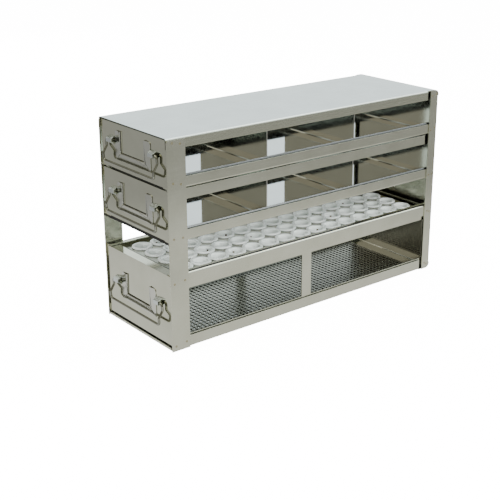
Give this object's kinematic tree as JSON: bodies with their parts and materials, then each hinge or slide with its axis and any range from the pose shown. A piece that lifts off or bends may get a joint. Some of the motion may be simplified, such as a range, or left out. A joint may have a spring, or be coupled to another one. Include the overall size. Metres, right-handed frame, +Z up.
{
  "type": "freezer storage rack",
  "caption": "Upright stainless-steel freezer rack: sliding box drawers over a tube drawer with flanged plastic inserts, each drawer with a drop wire handle and a label holder.",
  "frame": {"origin": "on the floor, at the middle of the space that the closed rack takes, its handles included", "axes": "+X to the right of someone who faces the front, +Y from the front to the back, +Z up"},
  "size_m": [0.143, 0.444, 0.2545],
  "materials": {
    "frame_steel": "cold-rolled stainless sheet, near mirror",
    "bright_steel": "cold-rolled stainless sheet, near mirror",
    "drawer_steel": "cold-rolled stainless sheet, near mirror",
    "front_steel": "cold-rolled stainless sheet, near mirror",
    "trim_steel": "bright stainless strip",
    "handle_wire": "drawn stainless wire",
    "mesh_steel": "expanded stainless sheet",
    "insert_plastic": "moulded white plastic"
  },
  "bodies": {
    "frame": {"top_cover": "bright_steel", "back_panel": "frame_steel", "bottom_pan": "frame_steel", "front_post_left": "frame_steel", "front_post_right": "frame_steel", "upper_runner_left": "frame_steel", "upper_runner_right": "frame_steel", "middle_runner_left": "frame_steel", "middle_runner_right": "frame_steel", "upper_tie": "frame_steel", "middle_tie": "frame_steel", "guide_rail_left": "frame_steel", "guide_rail_right": "frame_steel", "bottom_strip_left": "frame_steel", "bottom_strip_right": "frame_steel"},
    "upper_drawer": {"upper_front": "front_steel", "upper_tray": "drawer_steel", "upper_side_rail_left": "drawer_steel", "upper_side_rail_right": "drawer_steel", "upper_divider_front": "drawer_steel", "upper_divider_rear": "drawer_steel", "upper_back_wall": "drawer_steel", "upper_label_holder": "trim_steel", "upper_handle_straps": "trim_steel"},
    "upper_handle_bail": {"upper_handle": "handle_wire"},
    "middle_drawer": {"middle_front": "front_steel", "middle_tray": "drawer_steel", "middle_side_rail_left": "drawer_steel", "middle_side_rail_right": "drawer_steel", "middle_divider_front": "drawer_steel", "middle_divider_rear": "drawer_steel", "middle_back_wall": "drawer_steel", "middle_label_holder": "trim_steel", "middle_handle_straps": "trim_steel"},
    "middle_handle_bail": {"middle_handle": "handle_wire"},
    "tube_drawer": {"tube_front": "front_steel", "tube_tray": "drawer_steel", "tube_side_left": "drawer_steel", "tube_side_right": "drawer_steel", "tube_back_wall": "drawer_steel", "plate_ledge_front": "drawer_steel", "plate_ledge_rear": "drawer_steel", "mesh_mat": "mesh_steel", "tube_plate": "bright_steel", "insert_row_1": "insert_plastic", "insert_row_2": "insert_plastic", "insert_row_3": "insert_plastic", "insert_row_4": "insert_plastic", "tube_label_holder": "trim_steel", "tube_handle_straps": "trim_steel"},
    "tube_handle_bail": {"tube_handle": "handle_wire"}
  },
  "joints": [
    {"name": "upper_drawer_slide", "type": "slide", "parent": "frame", "child": "upper_drawer", "axis": [0, -1, 0], "range_m": [0, 0.42]},
    {"name": "upper_handle_hinge", "type": "hinge", "parent": "upper_drawer", "child": "upper_handle_bail", "pos_m": [0, -0.21571, 0.2316], "axis": [-1, 0, 0], "range_deg": [0, 85]},
    {"name": "middle_drawer_slide", "type": "slide", "parent": "frame", "child": "middle_drawer", "axis": [0, -1, 0], "range_m": [0, 0.42]},
    {"name": "middle_handle_hinge", "type": "hinge", "parent": "middle_drawer", "child": "middle_handle_bail", "pos_m": [0, -0.21571, 0.1696], "axis": [-1, 0, 0], "range_deg": [0, 85]},
    {"name": "tube_drawer_slide", "type": "slide", "parent": "frame", "child": "tube_drawer", "axis": [0, -1, 0], "range_m": [0, 0.42]},
    {"name": "tube_handle_hinge", "type": "hinge", "parent": "tube_drawer", "child": "tube_handle_bail", "pos_m": [0, -0.21571, 0.0555], "axis": [-1, 0, 0], "range_deg": [0, 85]}
  ]
}
